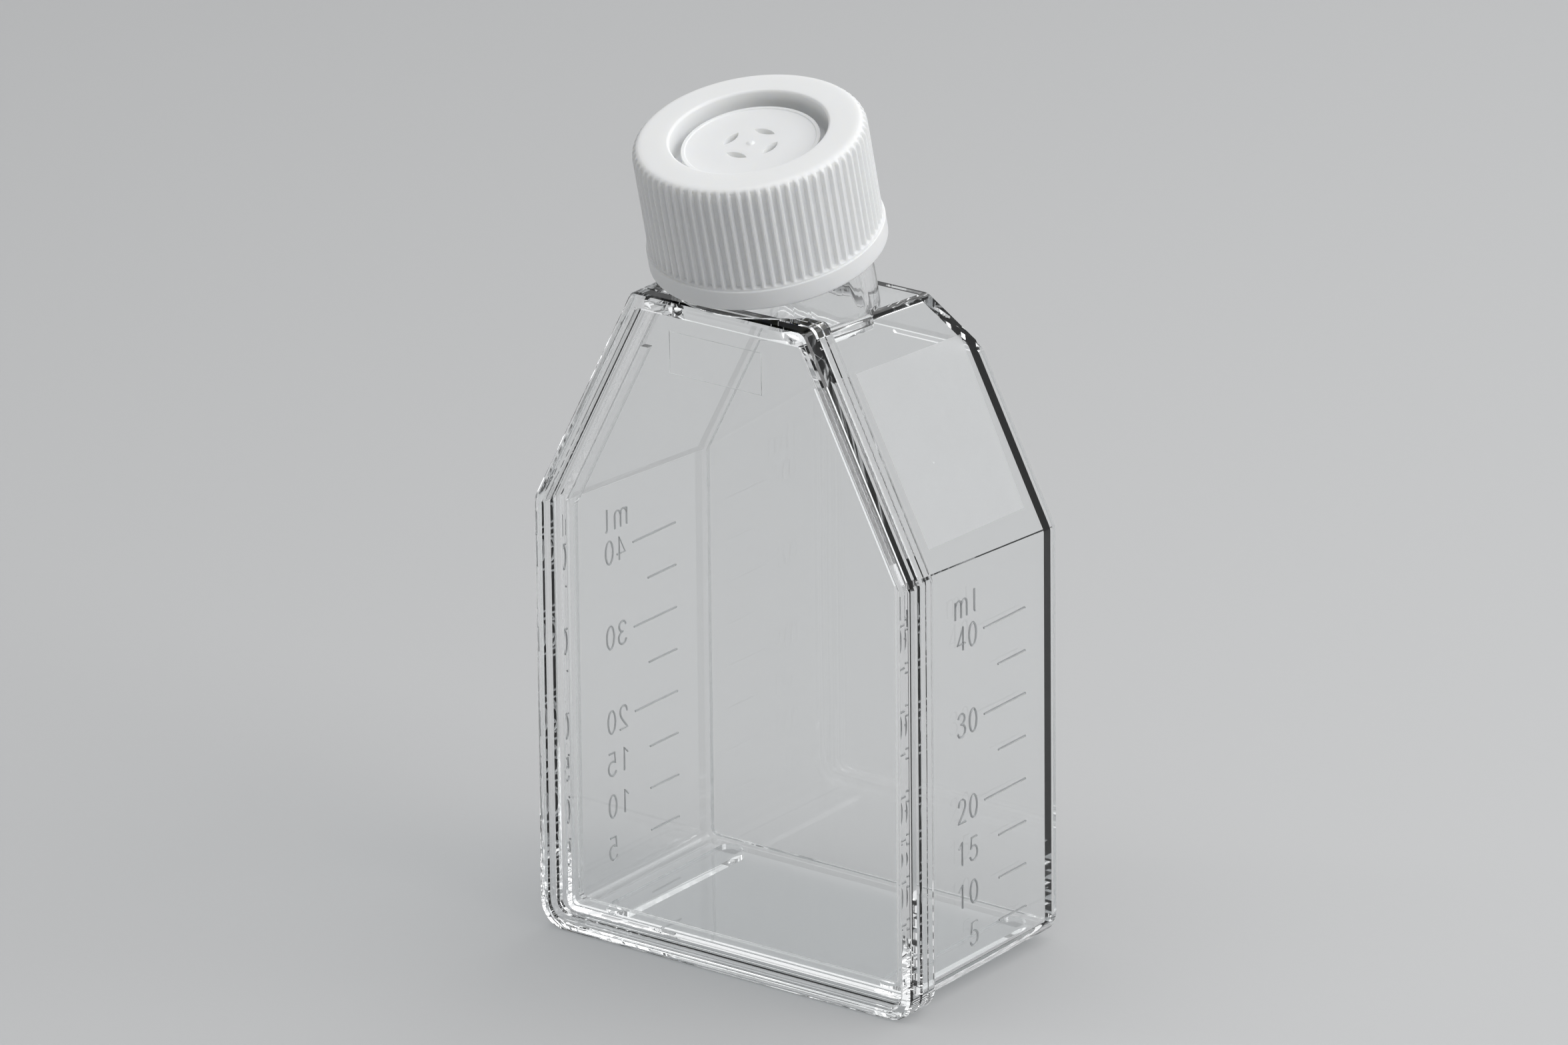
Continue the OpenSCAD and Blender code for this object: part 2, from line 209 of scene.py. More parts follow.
class GeometryTree(Tree):
    """Geometry Nodes tree with named sizes as its inputs."""

    def __init__(self, name: str, sizes: dict[str, float]) -> None:
        """Starts a tree.

        Args:
            name: Name of the tree.
            sizes: Its inputs and their values.
        """
        super().__init__(bpy.data.node_groups.new(name, "GeometryNodeTree"))
        self.sizes = sizes
        face = self.tree.interface
        for way in ("INPUT", "OUTPUT"):
            face.new_socket("Geometry", in_out=way, socket_type="NodeSocketGeometry")
        for label, value in sizes.items():
            kind = "NodeSocketInt" if isinstance(value, int) else "NodeSocketFloat"
            face.new_socket(label, in_out="INPUT", socket_type=kind)
        self.given = self.tree.nodes.new("NodeGroupInput")

    def __getitem__(self, label: str) -> Socket:
        """Returns the socket of a named size, or of the incoming geometry."""
        return self.given.outputs[label]

    def tube(self, curve: Socket, caps: bool = False) -> Socket:
        """Sweeps a round section along a curve; its radius is the input called Line Radius."""
        section = self.out("GeometryNodeCurvePrimitiveCircle", {
            "Resolution": 8, "Radius": self["Line Radius"]})
        return self.out("GeometryNodeCurveToMesh", {
            "Curve": curve, "Profile Curve": section, "Fill Caps": caps})

    def mesh(self, geometry: Socket, material: Material, base: Mesh | None = None) -> Mesh:
        """Ends the tree and evaluates it.

        Args:
            geometry: Socket of the finished geometry.
            material: Material that the tree sets.
            base: Mesh that goes in, or None for an empty one.

        Returns:
            The plain mesh that comes out.
        """
        real = self.out("GeometryNodeRealizeInstances", {0: geometry})
        dressed = self.out("GeometryNodeSetMaterial", {"Geometry": real, "Material": material})
        self.add("NodeGroupOutput", {0: dressed})
        name = self.tree.name
        holder = scene_object(name, base or bpy.data.meshes.new(name))
        modifier = holder.modifiers.new(name, "NODES")
        modifier.node_group = self.tree
        for item in self.tree.interface.items_tree:
            if item.in_out == "INPUT" and item.name in self.sizes:
                modifier[item.identifier] = self.sizes[item.name]
        return applied(holder)


def scene_object(name: str, data: bpy.types.ID) -> bpy.types.Object:
    """Makes an object of a mesh, a lamp or a camera and links it to the scene."""
    item = bpy.data.objects.new(name, data)
    bpy.context.scene.collection.objects.link(item)
    return item


def applied(holder: bpy.types.Object) -> Mesh:
    """Applies the modifiers of an object and removes the object.

    Args:
        holder: Object with modifiers.

    Returns:
        The resulting mesh.
    """
    bpy.context.view_layer.update()
    seen = holder.evaluated_get(bpy.context.evaluated_depsgraph_get())
    mesh = bpy.data.meshes.new_from_object(seen)
    bpy.data.objects.remove(holder)
    return mesh


# --- Meshes ---


def edited(mesh: Mesh, *steps: Callable[[Work], object]) -> Mesh:
    """Runs bmesh steps on a mesh.

    Args:
        mesh: Mesh to change in place.
        steps: Functions that each take the bmesh.

    Returns:
        The same mesh.
    """
    work = bmesh.new()
    work.from_mesh(mesh)
    for step in steps:
        step(work)
    work.to_mesh(mesh)
    work.free()
    return mesh


def weld_points(work: Work, reach: float = 0.002 * MM) -> None:
    """Merges points that lie within reach of each other and closes slits of no width."""
    bmesh.ops.remove_doubles(work, verts=work.verts, dist=reach)
    bmesh.ops.dissolve_degenerate(work, edges=work.edges, dist=1.5 * reach)


def drop_flat_edges(work: Work) -> None:
    """Joins coplanar triangles into whole faces."""
    bmesh.ops.dissolve_limit(work, angle_limit=math.radians(0.25), verts=work.verts, edges=work.edges)


def split_broad_faces(work: Work) -> None:
    """Splits faces of more than four corners into well-shaped triangles."""
    bmesh.ops.triangulate(work, faces=[face for face in work.faces if len(face.verts) > 4])


def face_outwards(work: Work) -> None:
    """Turns the normals of a closed mesh outwards."""
    bmesh.ops.recalc_face_normals(work, faces=work.faces)


def node_copy(node: Node) -> Mesh:
    """Returns a merged copy of a CAD node's mesh, with whole flat faces."""
    return edited(frame["nodes"][node.value].data.copy(), weld_points, drop_flat_edges)


def combined(mesh: Mesh, tools: Iterable[Mesh], how: Join) -> Mesh:
    """Adds closed meshes to a mesh, or cuts them from it.

    Args:
        mesh: Closed mesh to change.
        tools: The other closed meshes.
        how: Whether they are added or cut.

    Returns:
        The resulting mesh.
    """
    holder = scene_object("combined", mesh)
    helpers = [scene_object("tool", tool) for tool in tools]
    for helper in helpers:
        modifier = holder.modifiers.new("combine", "BOOLEAN")
        modifier.operation, modifier.solver, modifier.object = how.value, "MANIFOLD", helper
    result = applied(holder)
    for helper in helpers:
        bpy.data.objects.remove(helper)
    return result


def softened(mesh: Mesh, width: float, sharp: float) -> Mesh:
    """Rounds the sharp edges of a mesh a little.

    Args:
        mesh: Mesh with whole flat faces.
        width: Width of the rounding.
        sharp: Angle in degrees from which an edge is rounded.

    Returns:
        The rounded mesh.
    """
    holder = scene_object("softened", mesh)
    bevel = holder.modifiers.new("bevel", "BEVEL")
    bevel.width, bevel.segments, bevel.limit_method = width, 2, "ANGLE"
    bevel.angle_limit, bevel.miter_outer = math.radians(sharp), "MITER_ARC"
    return applied(holder)


def shaded(mesh: Mesh, sharp: float) -> Mesh:
    """Smooths the roundings and keeps each flat face exactly flat.

    At every corner the flat region with the largest area sets the normal, so a rounding runs
    from one flat face to the next and neither of them bends.

    Args:
        mesh: Mesh to shade in place.
        sharp: Angle in degrees from which an edge stays sharp.

    Returns:
        The same mesh.
    """
    work = bmesh.new()
    work.from_mesh(mesh)
    work.faces.ensure_lookup_table()
    region, areas = [-1] * len(work.faces), []
    for seed in work.faces:
        if region[seed.index] >= 0:
            continue
        region[seed.index], todo, area = len(areas), [seed], 0.0
        while todo:
            face = todo.pop()
            area += face.calc_area()
            for edge in face.edges:
                for other in edge.link_faces:
                    if region[other.index] < 0 and other.normal.dot(face.normal) > SAME_PLANE:
                        region[other.index] = len(areas)
                        todo.append(other)
        areas.append(area)
    limit, broad_limit = math.cos(math.radians(sharp)), math.cos(math.radians(BROAD_ANGLE))
    normals = []

    def joined(one: bmesh.types.BMFace, two: bmesh.types.BMFace) -> bool:
        """Tells whether the shading runs on from one face to the next."""
        broad = min(areas[region[one.index]], areas[region[two.index]]) > BROAD_AREA
        return one.normal.dot(two.normal) > (broad_limit if broad else limit)

    for face in work.faces:
        for loop in face.loops:
            fan, todo = {face: None}, [face]
            while todo:
                near = todo.pop()
                for edge in near.edges:
                    if loop.vert in edge.verts:
                        for other in edge.link_faces:
                            if other not in fan and joined(near, other):
                                fan[other] = None
                                todo.append(other)
            seen = {region[item.index]: item.normal for item in fan}
            total = sum((normal * areas[key] ** 2 for key, normal in seen.items()), Vector())
            normals.append(total.normalized() if total.length else face.normal.copy())
    work.free()
    mesh.polygons.foreach_set("use_smooth", [True] * len(mesh.polygons))
    mesh.normals_split_custom_set(normals)
    return mesh


def piece(name: str, mesh: Mesh, finishes: Sequence[Material], body: Body, slot: Slot,
          *nodes: Node) -> None:
    """Puts a finished mesh in the scene as a piece of the part.

    Args:
        name: Name of the piece.
        mesh: Mesh in the row frame.
        finishes: Materials, in the order of the mesh's own.
        body: CAD body that it rides on.
        slot: Record's material slot; not used.
        nodes: CAD nodes that it stands for.
    """
    mesh.name = name
    indices = [face.material_index for face in mesh.polygons]
    mesh.materials.clear()
    for finish in finishes:
        mesh.materials.append(finish)
    mesh.polygons.foreach_set("material_index", indices if len(finishes) > 1 else [0] * len(indices))
    item = scene_object(name, mesh)
    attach(item, body.value)
    if nodes:
        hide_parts(*(node.value for node in nodes))
    LOG.info("%s: %d faces, rides on %s", name, len(mesh.polygons), body.value)


@dataclass(frozen=True)
class NeckAxis:
    """Axis of the canted neck, with its origin at the neck's rim."""

    origin: Vector
    direction: Vector

    @classmethod
    def from_joint(cls, name: str) -> "NeckAxis":
        """Reads the axis of a joint of the frame."""
        joint = next(item for item in frame["joints"] if item["name"] == name)
        return cls(Vector(joint["pos_m"]), Vector(joint["axis"]).normalized())

    def place(self, mesh: Mesh) -> Mesh:
        """Moves a mesh that was made upright on z = 0 at the rim to the neck's axis."""
        turn = Vector((0, 0, 1)).rotation_difference(self.direction).to_matrix().to_4x4()
        mesh.transform(Matrix.Translation(self.origin) @ turn)
        return mesh


# --- Finishes ---


class Finish:
    """Base of the finishes, whose patterns read Object coordinates."""

    name = "finish"

    def shader(self, tree: ShaderTree, place: Socket) -> Socket:
        """Adds the finish's own nodes.

        Args:
            tree: The material's tree.
            place: Object coordinates.

        Returns:
            The finished shader.
        """
        raise NotImplementedError

    def material(self) -> Material:
        """Builds the material."""
        material = bpy.data.materials.new(self.name)
        material.use_nodes = True
        material.node_tree.nodes.clear()
        tree = ShaderTree(material.node_tree)
        place = tree.add("ShaderNodeTexCoord").outputs["Object"]
        tree.add("ShaderNodeOutputMaterial", {"Surface": self.shader(tree, place)})
        return material


@dataclass(frozen=True)
class ClearPolystyrene(Finish):
    """Polished, colourless polystyrene with faint flow waves and fine handling scuffs."""

    name: str = "clear_polystyrene"
    colour: Triple = (0.984, 0.989, 0.989)
    roughness: Point = (0.006, 0.05)
    wave_scale: float = 70
    wave_depth: float = 0.012 * MM
    scuff_scale: float = 900
    scuff_range: Point = (0.52, 0.74)
    scuff_turn: Triple = (0.5, 0.3, 0.7)
    scuff_stretch: Triple = (1.0, 0.16, 0.5)
    lamp_tint: Triple = (0.945, 0.955, 0.96)

    def shader(self, tree: ShaderTree, place: Socket) -> Socket:
        """Adds waves in the skin, scuffs that dull it and a way through for lamps."""
        waves = tree.relief(tree.noise(place, self.wave_scale, 1.5), self.wave_depth)
        streaks = tree.out("ShaderNodeMapping", {
            "Vector": place, "Rotation": self.scuff_turn, "Scale": self.scuff_stretch})
        scuffs = tree.noise(streaks, self.scuff_scale, 6, 1.4)
        plastic = tree.out("ShaderNodeBsdfPrincipled", {
            "Base Color": (*self.colour, 1), "IOR": POLYSTYRENE_IOR, "Transmission Weight": 1.0,
            "Roughness": tree.spread(scuffs, self.scuff_range, self.roughness), "Normal": waves})
        return tree.passing_lamps(plastic, self.lamp_tint)


@dataclass(frozen=True)
class FrostedPolystyrene(Finish):
    """The same plastic off a sparked face of the mould: milky, finely grained, with a few specks. With a
    dark grey milky share it gives the raised scale painted shade.
    """

    name: str = "frosted_polystyrene"
    haze_and_shade_share: float = 0.14
    milk_and_painted_shade: Triple = (0.93, 0.94, 0.945)
    colour: Triple = (0.95, 0.957, 0.96)
    roughness: Point = (0.36, 0.43)
    cloud_scale: float = 240
    grain_scale: float = 5200
    grain_depth: float = 0.02 * MM
    speck_scale: float = 900
    speck_size: float = 0.13
    speck_rarity: float = 0.965
    lamp_tint: Triple = (0.8, 0.81, 0.82)

    def shader(self, tree: ShaderTree, place: Socket) -> Socket:
        """Adds the grain, a cloudy milky share and the specks; in the raised scale's finish the milky share
        is dark grey, which is painted shade.
        """
        grain = tree.relief(tree.noise(place, self.grain_scale, 3), self.grain_depth)
        cloud = tree.noise(place, self.cloud_scale, 4)
        plastic = tree.out("ShaderNodeBsdfPrincipled", {
            "Base Color": (*self.colour, 1), "IOR": POLYSTYRENE_IOR, "Transmission Weight": 1.0,
            "Roughness": tree.spread(cloud, NOISE_CORE, self.roughness), "Normal": grain})
        # Milky layer; its dark grey colour in the raised scale's finish is painted shade.
        milk_and_painted_shade = tree.out("ShaderNodeBsdfPrincipled", {
            "Base Color": (*self.milk_and_painted_shade, 1), "IOR": POLYSTYRENE_IOR, "Roughness": 0.5, "Normal": grain})
        dots = tree.add("ShaderNodeTexVoronoi", {"Vector": place, "Scale": self.speck_scale})
        chance = tree.out("ShaderNodeSeparateColor", {0: dots.outputs["Color"]})
        near = tree.math("LESS_THAN", dots.outputs["Distance"], self.speck_size)
        rare = tree.math("GREATER_THAN", chance, self.speck_rarity)
        clouded = tree.spread(cloud, NOISE_SPAN, (self.haze_and_shade_share * 0.9, self.haze_and_shade_share * 1.1))
        share = tree.math("MAXIMUM", clouded, tree.math("MULTIPLY", near, rare))
        frosted = tree.out("ShaderNodeMixShader", {0: share, 1: plastic, 2: milk_and_painted_shade})
        return tree.passing_lamps(frosted, self.lamp_tint)


@dataclass(frozen=True)
class WhitePolyethylene(Finish):
    """Satin white polyethylene, a little translucent, with a fine moulded skin."""

    name: str = "white_polyethylene"
    colour: Triple = (0.87, 0.875, 0.87)
    shade: Triple = (0.855, 0.865, 0.872)
    roughness: Point = (0.34, 0.46)
    cloud_scale: float = 160
    skin_scale: float = 2600
    skin_depth: float = 0.006 * MM
    glow: float = 0.6
    glow_depth: float = 1.2 * MM

    def shader(self, tree: ShaderTree, place: Socket) -> Socket:
        """Adds a cloudy tone, light that spreads below the skin and the skin's grain."""
        cloud = tree.noise(place, self.cloud_scale, 3)
        skin = tree.noise(place, self.skin_scale, 4)
        return tree.out("ShaderNodeBsdfPrincipled", {
            "Base Color": tree.blend(cloud, self.colour, self.shade), "IOR": 1.54,
            "Roughness": tree.spread(cloud, NOISE_CORE, self.roughness),
            "Subsurface Weight": self.glow, "Subsurface Radius": (1.0, 0.96, 0.86),
            "Subsurface Scale": self.glow_depth, "Normal": tree.relief(skin, self.skin_depth)})


@dataclass(frozen=True)
class FilterFilm(Finish):
    """Matt white porous film with a fine fibrous web."""

    name: str = "filter_membrane"
    cream: Triple = (0.90, 0.88, 0.80)
    white: Triple = (0.96, 0.95, 0.90)
    roughness: Point = (0.7, 0.9)
    fibre_scale: float = 3800
    web_depth: float = 0.02 * MM

    def shader(self, tree: ShaderTree, place: Socket) -> Socket:
        """Adds the web of fibres."""
        fibres = tree.noise(place, self.fibre_scale, 8, 2.5)
        return tree.out("ShaderNodeBsdfPrincipled", {
            "Base Color": tree.blend(fibres, self.cream, self.white),
            "Roughness": tree.spread(fibres, NOISE_SPAN, self.roughness),
            "Normal": tree.relief(fibres, self.web_depth)})


@dataclass(frozen=True)
class StudioPaper(Finish):
    """Pale seamless paper of the studio floor."""

    name: str = "studio_paper"
    colour: Triple = (0.59, 0.595, 0.60)
    tooth_scale: float = 900
    tooth_depth: float = 0.02 * MM

    def shader(self, tree: ShaderTree, place: Socket) -> Socket:
        """Adds the tooth of the paper."""
        tooth = tree.noise(place, self.tooth_scale, 4)
        return tree.out("ShaderNodeBsdfPrincipled", {
            "Base Color": (*self.colour, 1), "Roughness": 0.75, "Specular IOR Level": 0.2,
            "Normal": tree.relief(tooth, self.tooth_depth)})


# --- Raised scale ---


def arc(points: Sequence[Point], steps: int = 5) -> list[Point]:
    """Runs a smooth curve through points.

    Args:
        points: Points on the curve, in order.
        steps: Straight pieces between two of them.

    Returns:
        The points of the smooth curve.
    """
    padded = [points[0], *points, points[-1]]
    run = [points[0]]
    for a, b, c, d in zip(padded, padded[1:], padded[2:], padded[3:]):
        for i in range(1, steps + 1):
            t = i / steps
            run.append(tuple(0.5 * (2 * q + (r - p) * t + (2 * p - 5 * q + 4 * r - s) * t * t
                                    + (3 * q - p - 3 * r + s) * t ** 3)
                             for p, q, r, s in zip(a, b, c, d)))
    return run


GLYPH_MIDDLE = 0.26
ROUND = [(GLYPH_MIDDLE + 0.24 * math.sin(math.radians(a)), 0.5 + 0.5 * math.cos(math.radians(a)))
         for a in range(0, 361, 18)]
STROKES: dict[str, list[list[Point]]] = {
    "0": [ROUND],
    "1": [[(0.02, 0.76), (0.26, 1.0), (0.26, 0.0)]],
    "2": [arc([
        (0.03, 0.72), (0.10, 0.93), (0.27, 1.0), (0.44, 0.92), (0.49, 0.72), (0.40, 0.48), (0.18, 0.20),
        (0.02, 0.0)]) + [(0.52, 0.0)]],
    "3": [arc([
        (0.03, 0.82), (0.13, 0.96), (0.28, 1.0), (0.43, 0.93), (0.47, 0.76), (0.38, 0.59), (0.22, 0.54)])
        + arc([(0.40, 0.50), (0.51, 0.32), (0.45, 0.09), (0.26, 0.0), (0.09, 0.05), (0.01, 0.20)])],
    "4": [[(0.39, 0.0), (0.39, 1.0), (0.01, 0.28), (0.54, 0.28)]],
    "5": [[(0.48, 1.0), (0.11, 1.0)] + arc([
        (0.06, 0.54), (0.22, 0.62), (0.41, 0.57), (0.51, 0.35), (0.44, 0.10), (0.25, 0.0), (0.09, 0.05),
        (0.01, 0.18)])],
    "m": [
        [(0.0, 0.0), (0.0, 0.76)],
        arc([(0.0, 0.56), (0.10, 0.71), (0.24, 0.76), (0.36, 0.70), (0.40, 0.56)]) + [(0.40, 0.0)],
        arc([(0.40, 0.56), (0.50, 0.71), (0.63, 0.76), (0.75, 0.70), (0.79, 0.56)]) + [(0.79, 0.0)]],
    "l": [[(0.26, 1.0), (0.26, 0.08), (0.34, 0.0)]],
}


def wires(name: str, strokes: Sequence[Sequence[Triple]]) -> Mesh:
    """Builds a mesh of edges that run along strokes.

    Args:
        name: Name of the mesh.
        strokes: Points of each stroke; one that ends where it starts becomes a closed loop.

    Returns:
        The mesh, without faces.
    """
    points: list[Triple] = []
    edges: list[tuple[int, int]] = []
    for stroke in strokes:
        closed = stroke[0] == stroke[-1] and len(stroke) > 3
        first = len(points)
        run = stroke[:-1] if closed else stroke
        points += run
        edges += [(first + i, first + i + 1) for i in range(len(run) - 1)]
        if closed:
            edges.append((first + len(run) - 1, first))
    mesh = bpy.data.meshes.new(name)
    mesh.from_pydata(points, edges, [])
    return mesh


def lid_front() -> float:
    """Returns the depth of the lid's front face."""
    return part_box(Node.LID.value)[0].y


@dataclass
class LidMark:
    """Faint frame line that a mould insert leaves on the lid's panel, in millimetres."""

    left: float = -7.2
    right: float = 4.6
    low: float = 65.0
    high: float = 69.6
    depth: float = 1.6
    line_r: float = 0.05

    def mesh(self, material: Material) -> Mesh:
        """Builds the line as a tube, half sunk in the panel.

        Args:
            material: Finish of the line.

        Returns:
            Closed mesh in the row frame.
        """
        y = lid_front() + self.depth * MM
        corners = [(x * MM, y, z * MM) for x, z in (
            (self.left, self.low), (self.right, self.low), (self.right, self.high), (self.left, self.high))]
        tree = GeometryTree("lid_mark", {"Line Radius": self.line_r * MM})
        curve = tree.out("GeometryNodeMeshToCurve", {0: tree["Geometry"]})
        made = tree.mesh(tree.tube(curve), material, wires("lid_mark", [[*corners, corners[0]]]))
        return edited(made, weld_points, face_outwards)


@dataclass
class Scale:
    """Graduations of one narrow side wall: a tick for each 5 ml and the numbers beside them.

    Places are measured along the wall from the lid's front face and up from the foot.
    """

    wall: Wall
    step: float = 4.774 * MM
    foot: float = 1.0 * MM
    ticks: int = 8
    tick_end: float = 22.45 * MM
    long_from: int = 3
    long_start: float = 15.1 * MM
    short_start: float = 17.6 * MM
    digit_height: float = 2.55 * MM
    digit_pitch: float = 2.05 * MM
    units_at: float = 13.1 * MM
    unit_rise: float = 3.65 * MM
    unit_spread: float = 0.32 * MM
    line_r: float = 0.125 * MM
    numbers: tuple[tuple[str, int], ...] = (("5", 1), ("10", 2), ("15", 3), ("20", 4), ("30", 6), ("40", 8))

    def glyph(self, sign: str, middle: float, base: float) -> list[list[Point]]:
        """Returns the strokes of one sign along and up the wall, from its middle and its base line."""
        way = self.wall.value
        return [[(middle + way * (x - GLYPH_MIDDLE) * self.digit_height, base + z * self.digit_height)
                 for x, z in stroke] for stroke in STROKES[sign]]

    def strokes(self) -> list[list[Point]]:
        """Sets out the numbers and the unit above them.

        Returns:
            Their strokes, as points along and up the wall.
        """
        lines = []
        tens_at = self.units_at - self.digit_pitch
        near, far = (tens_at, self.units_at) if self.wall is Wall.RIGHT else (self.units_at, tens_at)
        for text, rank in self.numbers:
            base = self.foot + rank * self.step - self.digit_height / 2
            for sign, middle in zip(text[::-1], (far, near)):
                lines += self.glyph(sign, middle, base)
        top = self.foot + self.ticks * self.step - self.digit_height / 2 + self.unit_rise
        lead = self.wall.value * self.unit_spread
        return lines + self.glyph("m", near - lead, top) + self.glyph("l", far + lead, top)

    def mesh(self, surface: "WallFace", material: Material) -> Mesh:
        """Builds the raised lines, half sunk in the wall.

        Args:
            surface: The wall's outer face.
            material: Finish of the lines.

        Returns:
            Closed tubes in the row frame.
        """
        lines = wires("numbers", [[(0.0, along, up) for along, up in stroke] for stroke in self.strokes()])
        tree = GeometryTree("raised_scale", {
            "Ticks": self.ticks, "Step": self.step, "Foot": self.foot, "Tick End": self.tick_end,
            "Long Start": self.long_start, "Short Start": self.short_start, "Line Radius": self.line_r})
        rows = tree.out("GeometryNodeMeshLine", {
            "Count": tree["Ticks"],
            "Start Location": tree.out("ShaderNodeCombineXYZ", {
                1: tree["Tick End"], 2: tree.math("ADD", tree["Foot"], tree["Step"])}),
            "Offset": tree.out("ShaderNodeCombineXYZ", {2: tree["Step"]})})
        index = tree.out("GeometryNodeInputIndex")
        upper = tree.math("GREATER_THAN", index, self.long_from - 0.5)
        tens = tree.math("MULTIPLY", upper, tree.math("MODULO", index, 2.0))
        start = tree.out("GeometryNodeSwitch", {
            0: tens, 1: tree["Short Start"], 2: tree["Long Start"]}, input_type="FLOAT")
        length = tree.math("SUBTRACT", start, tree["Tick End"])
        unit = tree.out("GeometryNodeCurvePrimitiveLine", {"End": (0.0, 1.0, 0.0)})
        ticks = tree.out("GeometryNodeInstanceOnPoints", {
            "Points": rows, "Instance": unit,
            "Scale": tree.out("ShaderNodeCombineXYZ", {0: 1.0, 1: length, 2: 1.0})})
        ticks = tree.out("GeometryNodeRealizeInstances", {0: ticks})
        numbers = tree.out("GeometryNodeMeshToCurve", {0: tree["Geometry"]})
        joined = tree.add("GeometryNodeJoinGeometry")
        for part in (numbers, ticks):
            tree.feed(joined.inputs[0], part)
        made = tree.mesh(tree.tube(joined.outputs[0], caps=True), material, lines)
        return edited(surface.lay(made), weld_points, face_outwards)


@dataclass(frozen=True)
class WallFace:
    """Flat outer face of a wall, as the plane through one of its points."""

    point: Vector
    normal: Vector
    front: float
    facing: ClassVar[float] = 0.995
    outside: ClassVar[float] = 18 * MM

    @classmethod
    def find(cls, mesh: Mesh, towards: Vector) -> "WallFace":
        """Finds the largest outer face that looks one way.

        Args:
            mesh: Mesh with whole flat faces.
            towards: Direction that the face looks to.

        Returns:
            The face's plane.
        """
        outer = [face for face in mesh.polygons
                 if face.normal.dot(towards) > cls.facing and face.center.dot(towards) > cls.outside]
        best = max(outer, key=lambda face: face.area)
        return cls(best.center.copy(), best.normal.copy(), lid_front())

    def at(self, along: float, up: float) -> Vector:
        """Returns the point on the face at a depth behind the lid's front and a height."""
        y, n, p = self.front + along, self.normal, self.point
        return Vector((p.x - ((y - p.y) * n.y + (up - p.z) * n.z) / n.x, y, up))

    def lay(self, mesh: Mesh) -> Mesh:
        """Lays a mesh that was made about x = 0 on the face."""
        for vertex in mesh.vertices:
            side, along, up = vertex.co
            vertex.co = self.at(along, up) + self.normal * side
        return mesh


# --- Vessel ---


@dataclass
class ScrewThread:
    """One helical ridge, made upright with z = 0 at the neck's rim."""

    root_r: float
    start: float
    height: float = 0.6 * MM
    turns: float = 1.5
    pitch: float = 3.2 * MM
    base: float = 1.15 * MM
    crest: float = 0.45 * MM
    runout: float = 0.07
    end_share: float = 0.03
    points: int = 96
    inward: bool = False

    def mesh(self, material: Material) -> Mesh:
        """Builds the ridge, sunk a little in its wall.

        Args:
            material: Finish of the ridge.

        Returns:
            Closed mesh on the upright axis.
        """
        tree = GeometryTree("screw_thread", {
            "Root Radius": self.root_r, "Height": self.height, "Turns": self.turns, "Pitch": self.pitch,
            "Start": self.start, "Base": self.base, "Crest": self.crest, "Runout": self.runout})
        rise = tree.math("MULTIPLY", tree["Turns"], tree["Pitch"])
        spiral = tree.out("GeometryNodeCurveSpiral", {
            "Resolution": self.points, "Rotations": tree["Turns"], "Height": rise, "Reverse": True,
            "Start Radius": tree["Root Radius"], "End Radius": tree["Root Radius"]})
        lift = tree.out("ShaderNodeCombineXYZ", {2: tree["Start"]})
        lifted = tree.out("GeometryNodeSetPosition", {0: spiral, "Offset": lift})
        upright = tree.out("GeometryNodeSetCurveNormal", {0: lifted}, mode="Z_UP")
        way = tree.add("GeometryNodeSplineParameter").outputs["Factor"]
        ends = tree.math("MINIMUM", way, tree.math("SUBTRACT", 1.0, way))
        grow = tree.spread(ends, (0.0, tree["Runout"]), (self.end_share, 1.0), smooth=True)
        tapered = tree.out("GeometryNodeSetCurveRadius", {0: upright, "Radius": grow})
        ridge = tree.out("GeometryNodeCurvePrimitiveQuadrilateral", {
            "Bottom Width": tree["Base"], "Top Width": tree["Crest"], "Offset": 0.0,
            "Height": tree.math("MULTIPLY", tree["Height"], 2.0)}, mode="TRAPEZOID")
        ridge = tree.out("GeometryNodeTransform", {
            0: ridge, "Rotation": (0.0, 0.0, math.pi / 2 if self.inward else -math.pi / 2)})
        made = tree.mesh(tree.out("GeometryNodeCurveToMesh", {
            "Curve": tapered, "Profile Curve": ridge, "Scale": grow, "Fill Caps": True}), material)
        return edited(made, weld_points, face_outwards)


